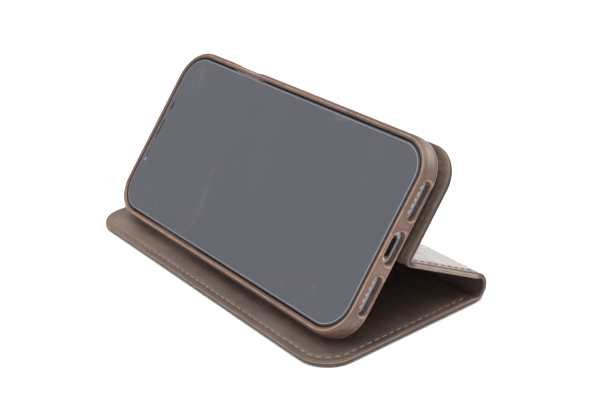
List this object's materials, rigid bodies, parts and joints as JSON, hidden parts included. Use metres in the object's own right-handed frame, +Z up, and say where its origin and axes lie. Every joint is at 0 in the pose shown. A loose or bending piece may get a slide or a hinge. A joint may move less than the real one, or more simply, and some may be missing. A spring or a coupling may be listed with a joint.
{
  "type": "phone wallet case",
  "caption": "Leather folio case for a handset, folded out as a desk stand: cover with pockets, bending spine, creased back panel and a leather-covered tray.",
  "frame": {"origin": "centre of the footprint on the table, on the outer face of the cover and the spine", "axes": "+X along the handset towards its charging end, +Y from the cover's free edge to the spine, +Z up from the table"},
  "size_m": [0.1536, 0.0782, 0.0667],
  "materials": {
    "leather_outer": "Full-grain brown leather, waxed and a little worn, with a soft satin sheen and pale wear along its edges",
    "leather_lining": "Thinner dark brown lining leather with a fine grain, satin",
    "edge_thread": "Waxed polyester thread, tan on the inner face and dark brown on the outer face",
    "board": "Grey-brown bookbinder's board inside the panels",
    "tray_plastic": "Moulded polycarbonate tray, dark brown and matt",
    "microfibre": "Short-pile microfibre on the tray's floor, dark brown",
    "glue": "Thin double-sided adhesive pad",
    "magnet": "Nickel-plated flat magnets",
    "phone_steel": "Polished steel frame, keys and port ring of the handset",
    "phone_glass": "Black glass over the screen, glossy, with faint smears",
    "phone_back": "Pale back glass, glossy",
    "phone_display_panel": "Display panel, switched off",
    "phone_inside": "Battery and boards as one block",
    "phone_dark": "Dark mesh, sensor windows and speaker boxes",
    "lens_glass": "Coated lens glass, near black",
    "flash_lens": "Frosted flash window"
  },
  "bodies": {
    "cover": {"cover_leather": "leather_outer", "cover_board": "board", "cover_pocket_liner": "microfibre", "cover_lining": "leather_lining", "cover_stitching": "edge_thread", "cover_magnets": "magnet"},
    "spine_1": {"spine_leather_1": "leather_outer", "spine_lining_1": "leather_lining"},
    "spine_2": {"spine_leather_2": "leather_outer", "spine_lining_2": "leather_lining"},
    "lower_back": {"lower_back_leather": "leather_outer", "lower_back_board": "board", "lower_back_lining": "leather_lining", "lower_back_stitching": "edge_thread"},
    "upper_back": {"upper_back_leather": "leather_outer", "upper_back_board": "board", "upper_back_lining": "leather_lining", "upper_back_stitching": "edge_thread", "tray_glue_pad": "glue", "tray": "tray_plastic", "tray_leather": "leather_outer", "tray_pad": "microfibre"},
    "phone": {"phone_frame": "phone_steel", "phone_front_glass": "phone_glass", "phone_display": "phone_display_panel", "phone_core": "phone_inside", "phone_back_glass": "phone_back", "earpiece_grille": "phone_dark", "front_sensors": "phone_dark", "charge_port": "phone_steel", "bottom_speakers": "phone_dark", "end_screws": "phone_steel", "camera_housing": "phone_steel", "camera_lenses": "lens_glass", "camera_flash": "flash_lens"},
    "side_key": {"side_button": "phone_steel"},
    "volume_up_key": {"volume_up_button": "phone_steel"},
    "volume_down_key": {"volume_down_button": "phone_steel"},
    "ring_key": {"ring_switch": "phone_steel"}
  },
  "joints": [
    {"name": "cover_fold", "type": "hinge", "parent": "cover", "child": "spine_1", "pos_m": [0, 0.03315, 0], "axis": [1, 0, 0], "range_deg": [-180, 0]},
    {"name": "spine_fold_2", "type": "hinge", "parent": "spine_1", "child": "spine_2", "pos_m": [0, 0.03782, 0.00223], "axis": [1, 0, 0], "range_deg": [-102.14, 0]},
    {"name": "spine_fold_3", "type": "hinge", "parent": "spine_2", "child": "lower_back", "pos_m": [0, 0.03586, 0.01136], "axis": [1, 0, 0], "range_deg": [-51.07, 0]},
    {"name": "stand_crease", "type": "hinge", "parent": "lower_back", "child": "upper_back", "pos_m": [0, 0.00096, 0.02899], "axis": [1, 0, 0], "range_deg": [0, 100.69]},
    {"name": "phone_lift", "type": "slide", "parent": "upper_back", "child": "phone", "axis": [0, -0.7934, 0.6088], "range_m": [0, 0.03]},
    {"name": "side_button_press", "type": "slide", "parent": "phone", "child": "side_key", "axis": [0, -0.6088, -0.7934], "range_m": [0, 0.0003], "stiffness_N_per_m": 2000},
    {"name": "volume_up_press", "type": "slide", "parent": "phone", "child": "volume_up_key", "axis": [0, 0.6088, 0.7934], "range_m": [0, 0.0003], "stiffness_N_per_m": 2000},
    {"name": "volume_down_press", "type": "slide", "parent": "phone", "child": "volume_down_key", "axis": [0, 0.6088, 0.7934], "range_m": [0, 0.0003], "stiffness_N_per_m": 2000},
    {"name": "ring_switch_slide", "type": "slide", "parent": "phone", "child": "ring_key", "axis": [0, -0.7934, 0.6088], "range_m": [-0.0014, 0]}
  ],
  "couplings": [
    {"joint": "spine_fold_2", "follows": "stand_crease", "ratio": -1.0143},
    {"joint": "spine_fold_3", "follows": "stand_crease", "ratio": -0.50713}
  ]
}
